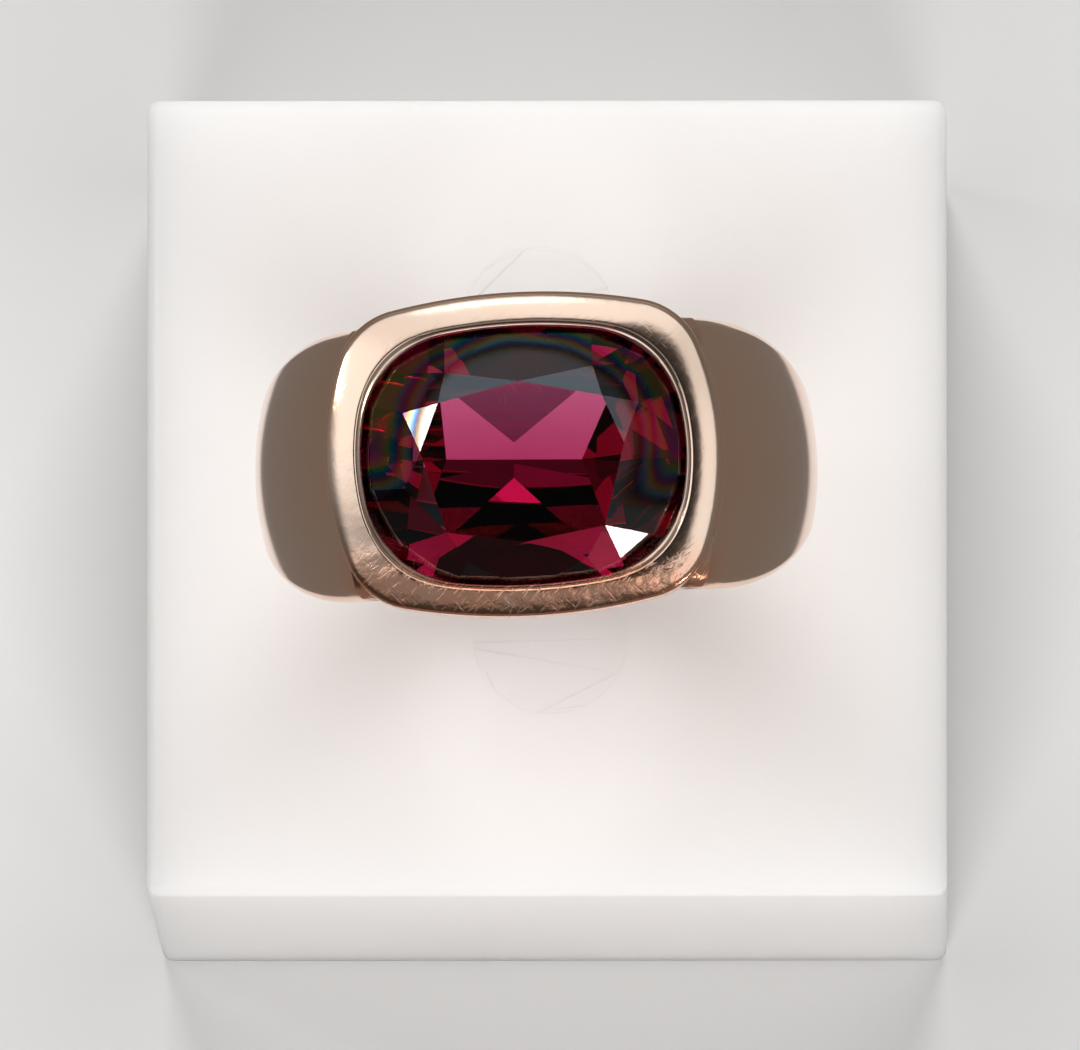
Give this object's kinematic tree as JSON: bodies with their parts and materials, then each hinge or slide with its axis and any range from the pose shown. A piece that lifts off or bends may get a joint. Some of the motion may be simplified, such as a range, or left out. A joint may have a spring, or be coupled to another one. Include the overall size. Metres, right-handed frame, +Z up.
{
  "type": "rhodolite ring on a display block",
  "caption": "Rose gold ring with flared shoulders and a cushion-cut rhodolite in a smooth bezel, standing in a clear cradle on a white display block.",
  "frame": {"origin": "middle of the display block's underside", "axes": "+Z up from the block to the stone, X across the ring, +Y along the finger, away from the viewer of the picture"},
  "size_m": [0.03, 0.03, 0.0556],
  "materials": {
    "rose_gold": "polished rose gold with fine wear scratches",
    "rhodolite": "polished facets, deep purplish red",
    "white_acrylic": "satin opal white",
    "clear_acrylic": "polished clear"
  },
  "bodies": {
    "root": {"ring": "rose_gold", "stone": "rhodolite", "block": "white_acrylic", "holder": "clear_acrylic"}
  },
  "joints": []
}
